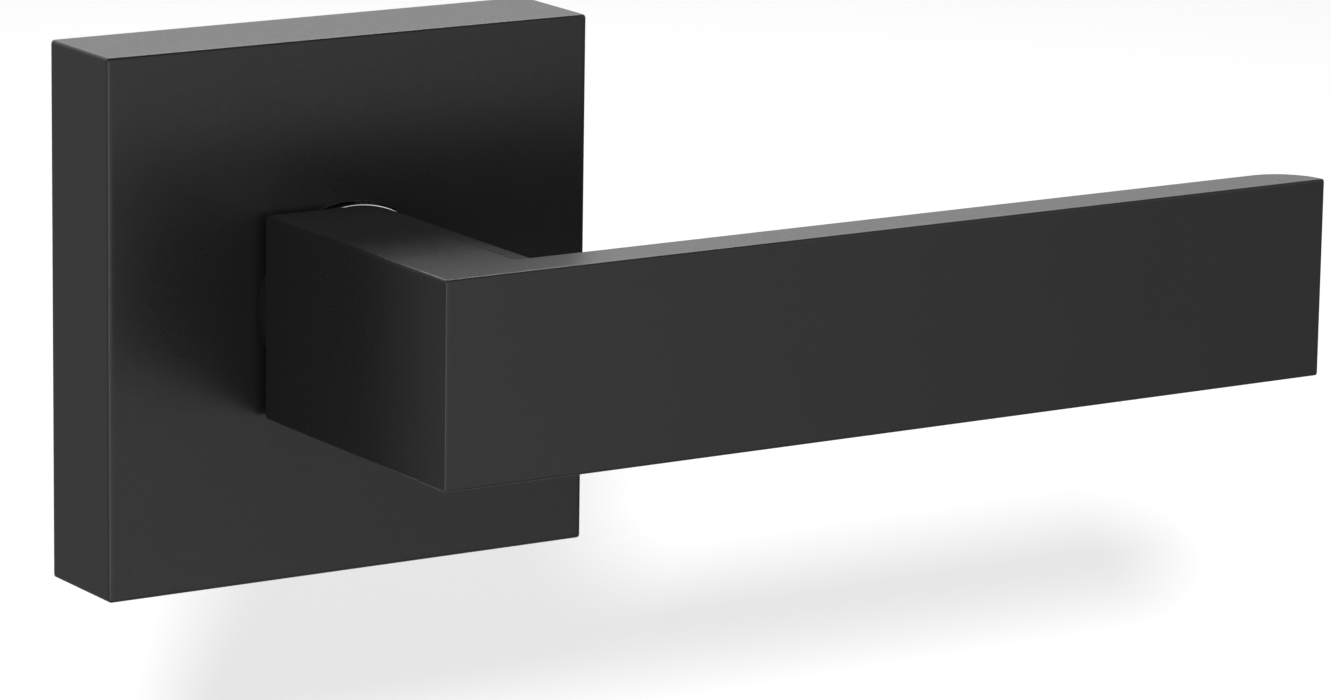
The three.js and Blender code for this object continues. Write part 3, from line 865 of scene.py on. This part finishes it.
# ---------------------------------------------------------------- return spring
def make_spring():
    r, wire, half = 11.0, 0.65, 1.7 + 0.3 + 0.65
    y0, turns, pitch = -6.3, 2, 1.45
    a_leg = math.pi - math.asin(half / r)
    sweep_angle = 2 * math.pi * turns + 2 * (math.pi - a_leg)
    pts = []
    xl = r * math.cos(a_leg)
    bend = 1.5
    for k in range(12):
        t = k / 12
        pts.append((-20.6 + (xl - bend + 20.6) * t, y0, half))
    n = 220
    first = []
    for k in range(n + 1):
        t = k / n
        a = a_leg - sweep_angle * t
        first.append((r * math.cos(a), y0 + pitch * turns * t, r * math.sin(a)))
    skip = 4
    start, end = first[skip], first[n - skip]
    for k in range(1, 8):
        t = k / 8
        a, b = Vector((xl - bend, y0, half)), Vector(start)
        m = Vector((xl + 0.35, y0, half + 0.02))
        pts.append(tuple(a * (1 - t) ** 2 + m * 2 * t * (1 - t) + b * t * t))
    pts += first[skip:n - skip + 1]
    y1 = y0 + pitch * turns
    for k in range(1, 8):
        t = k / 8
        a, b = Vector(end), Vector((xl - bend, y1, -half))
        m = Vector((xl + 0.35, y1, -half - 0.02))
        pts.append(tuple(a * (1 - t) ** 2 + m * 2 * t * (1 - t) + b * t * t))
    for k in range(13):
        t = k / 12
        pts.append((xl - bend + (-20.6 - xl + bend) * t, y1, -half))
    ob = sweep("spring", pts, wire, 14)
    return install(ob, "return_spring", "rose", SPRING, 50)


make_spring()


# ----------------------------------------------------------------------- screws
for k in range(1, 5):
    lo, hi = box_mm(f"housing_screw_{k}")
    c = ((lo[0] + hi[0]) / 2, (lo[2] + hi[2]) / 2)
    head = lathe(f"housing_screw_head_{k}", rounded([
        (0, lo[1], 0), (2.7, lo[1], 0.8), (2.7, -4.0, 0.15), (0, -4.0, 0)], False, 5), 48, c)
    shank = threaded("shank", 1.5, 0.5, -4.6, hi[1], c, plain_to=-3.6)
    boolean(head, shank, "UNION")
    boolean(head, cross_cutter("cross", 1.6, 0.32, -7, -4.75, c))
    install(head, f"housing_screw_{k}", "rose", ZINC)

for name in ("upper", "lower"):
    lo, hi = box_mm(f"fixing_screw_{name}")
    c = (0.0, (lo[2] + hi[2]) / 2)
    head = lathe(f"fixing_head_{name}", rounded([
        (0, lo[1], 0), (3.9, lo[1], 1.2), (3.9, -2.6, 0.2), (0, -2.6, 0)], False, 6), 64, c)
    shank = threaded("shank", 2.0, 0.7, -3.4, hi[1], c, plain_to=10.0)
    boolean(head, shank, "UNION")
    boolean(head, cross_cutter("cross", 2.3, 0.42, -7, -3.5, c))
    install(head, f"fixing_screw_{name}", "rose", ZINC)
    lug = lathe(f"lug_{name}", rounded([
        (2.35, -1.9, 0.1), (3.2, -1.9, 0.2), (3.2, 0.25, 0.05), (4.0, 0.25, 0.2), (4.0, 8.0, 0.6), (2.35, 8.0, 0.15)],
        True, 4), 64, c)
    install(lug, f"locating_lug_{name}", "rose", ZINC)

grub = threaded("grub_m5", 2.5, 0.8, lg_lo[2], lg_hi[2], (0, -24), axis="Z", columns=32, per_pitch=10)
boolean(grub, hexagon("hex", 1.45, -14, -9.9, (0, -24), "Z"))
install(grub, "lever_grub_screw", "lever", DARK)

cover_grub = threaded("grub_m3", 1.5, 0.5, cg_lo[2], cg_hi[2], (0, -5.2), axis="Z", columns=28, per_pitch=8)
boolean(cover_grub, hexagon("hex", 0.88, cg_lo[2] - 1, cg_lo[2] + 1.5, (0, -5.2), "Z"))
install(cover_grub, "cover_grub_screw", "rose", DARK)


# ------------------------------------------------------------------------ stage
# The lever swings 45 degrees down, so the floor lies below the lowest point of its free end.
turn = next(j for j in frame["record"]["behaviour"]["joints"] if j["name"] == "lever_turn")
swing = math.radians(max(turn["range_deg"]))
floor_z = -math.hypot(XR, LEVER_H) * math.sin(swing + math.atan2(LEVER_H, XR)) - 3.0
floor = box("floor", -4000, 4000, -4000, 4000, floor_z - 10, floor_z)
mat, nt, b = nodes_of("floor_white")
b.inputs["Base Color"].default_value = (0.46, 0.46, 0.46, 1)
b.inputs["Roughness"].default_value = 1.0
b.inputs["Specular IOR Level"].default_value = 0.0
b.inputs["Emission Color"].default_value = (1, 1, 1, 1)
b.inputs["Emission Strength"].default_value = 0.27
floor.data.materials.append(mat)
floor.visible_glossy = False


def studio_world():
    """A plain white studio: even light overhead, brightest at the front left, fading to the right and behind."""
    world = bpy.data.worlds.new("studio")
    bpy.context.scene.world = world
    world.use_nodes = True
    nt = world.node_tree
    bg = nt.nodes["Background"]
    tc = nt.nodes.new("ShaderNodeTexCoord")
    sep = nt.nodes.new("ShaderNodeSeparateXYZ")
    nt.links.new(tc.outputs["Generated"], sep.inputs[0])
    dot = nt.nodes.new("ShaderNodeVectorMath")
    dot.operation = "DOT_PRODUCT"
    dot.inputs[1].default_value = (-0.5, -0.866, 0.0)
    nt.links.new(tc.outputs["Generated"], dot.inputs[0])

    def ramp(value, stops):
        m = nt.nodes.new("ShaderNodeMapRange")
        m.inputs["From Min"].default_value = -1
        m.inputs["From Max"].default_value = 1
        nt.links.new(value, m.inputs["Value"])
        r = nt.nodes.new("ShaderNodeValToRGB")
        el = r.color_ramp.elements
        while len(el) > 1:
            el.remove(el[-1])
        el[0].position = (stops[0][0] + 1) / 2
        el[0].color = (stops[0][1],) * 3 + (1,)
        for at, level in stops[1:]:
            e = el.new((at + 1) / 2)
            e.color = (level,) * 3 + (1,)
        nt.links.new(m.outputs["Result"], r.inputs["Fac"])
        return r.outputs["Color"]

    low = ramp(dot.outputs["Value"], LOW_STOPS)
    high = ramp(sep.outputs["Z"], HIGH_STOPS)
    step = nt.nodes.new("ShaderNodeMapRange")
    step.interpolation_type = "SMOOTHSTEP"
    step.inputs["From Min"].default_value = -0.12
    step.inputs["From Max"].default_value = 0.12
    nt.links.new(sep.outputs["Z"], step.inputs["Value"])
    mix = nt.nodes.new("ShaderNodeMix")
    mix.data_type = "RGBA"
    nt.links.new(step.outputs["Result"], mix.inputs["Factor"])
    side = nt.nodes.new("ShaderNodeVectorMath")
    side.operation = "DOT_PRODUCT"
    side.inputs[1].default_value = (-0.84, -0.54, 0.0)
    nt.links.new(tc.outputs["Generated"], side.inputs[0])
    glow = nt.nodes.new("ShaderNodeMapRange")
    glow.interpolation_type = "SMOOTHSTEP"
    glow.inputs["From Min"].default_value = 0.92
    glow.inputs["From Max"].default_value = 0.975
    glow.inputs["To Max"].default_value = 2.4
    nt.links.new(side.outputs["Value"], glow.inputs["Value"])
    lit = nt.nodes.new("ShaderNodeVectorMath")
    lit.operation = "ADD"
    nt.links.new(low, lit.inputs[0])
    nt.links.new(glow.outputs["Result"], lit.inputs[1])
    nt.links.new(lit.outputs["Vector"], mix.inputs[6])
    nt.links.new(high, mix.inputs[7])
    path = nt.nodes.new("ShaderNodeLightPath")
    seen = nt.nodes.new("ShaderNodeMix")
    seen.data_type = "RGBA"
    nt.links.new(path.outputs["Is Camera Ray"], seen.inputs["Factor"])
    nt.links.new(mix.outputs[2], seen.inputs[6])
    seen.inputs[7].default_value = (1.0, 1.0, 1.0, 1)
    nt.links.new(seen.outputs[2], bg.inputs["Color"])
    bg.inputs["Strength"].default_value = 1.0


LOW_STOPS = ((-0.6, 0.40), (0.0, 0.31), (0.26, 0.16), (0.37, 0.32), (0.50, 1.40), (0.65, 1.6), (0.95, 1.2))
HIGH_STOPS = ((0.0, 0.80), (0.26, 0.72), (0.42, 1.3), (0.58, 1.1), (0.72, 0.12), (0.90, 0.05), (1.0, 0.05))
studio_world()


def area(name, place, target, size, power, size_y=None):
    light = bpy.data.lights.new(name, "AREA")
    light.shape = "RECTANGLE"
    light.size = size
    light.size_y = size_y or size
    light.energy = power
    ob = bpy.data.objects.new(name, light)
    bpy.context.scene.collection.objects.link(ob)
    ob.location = place
    ob.rotation_euler = (Vector(target) - Vector(place)).to_track_quat("-Z", "Y").to_euler()
    return ob


overhead = area("overhead", (0.06, 0.05, 0.80), (0.04, -0.03, 0), 0.45, 4.4)
overhead.visible_glossy = False
area("back_softbox", (0.36, 0.60, 0.52), (0.03, -0.02, 0), 0.50, 1.50, 0.22)

# A far soft lamp from the front lights the floor alone, for the pale shadow under rose and grip.
lamp = bpy.data.lights.new("front_lamp", "SUN")
lamp.energy = 5.2
lamp.angle = math.radians(6)
front = bpy.data.objects.new("front_lamp", lamp)
bpy.context.scene.collection.objects.link(front)
front.rotation_euler = Vector((1.25, 1.95, -0.95)).to_track_quat("-Z", "Y").to_euler()
floor_only = bpy.data.collections.new("floor_only")
floor_only.objects.link(floor)
front.light_linking.receiver_collection = floor_only

scene = bpy.context.scene
scene.view_settings.view_transform = "Standard"
scene.view_settings.look = "None"
scene.view_settings.exposure = 0.0
scene.view_settings.gamma = 1.0

# ----------------------------------------------------------------------- camera
AZ, EL, ROLL = math.radians(-32.601), math.radians(12.626), math.radians(0.855)
DIST, FOCAL_PX = 834.77, 6752.16
TARGET = Vector((41.627, -20.0, -8.914))
back = Vector((math.sin(AZ) * math.cos(EL), -math.cos(AZ) * math.cos(EL), math.sin(EL)))
right = (-back).cross(Vector((0, 0, 1))).normalized()
up = right.cross(-back)
r2 = right * math.cos(ROLL) + up * math.sin(ROLL)
u2 = -right * math.sin(ROLL) + up * math.cos(ROLL)
cam_data = bpy.data.cameras.new("camera")
cam_data.sensor_fit = "HORIZONTAL"
cam_data.sensor_width = 36.0
cam_data.lens = FOCAL_PX / 1331 * 36.0
cam_data.clip_start = 0.05
cam_data.clip_end = 50.0
camera = bpy.data.objects.new("camera", cam_data)
scene.collection.objects.link(camera)
m = Matrix((
    (r2.x, u2.x, back.x, 0), (r2.y, u2.y, back.y, 0), (r2.z, u2.z, back.z, 0), (0, 0, 0, 1)))
m.translation = (TARGET + back * DIST) * MM
camera.matrix_world = m
scene.camera = camera
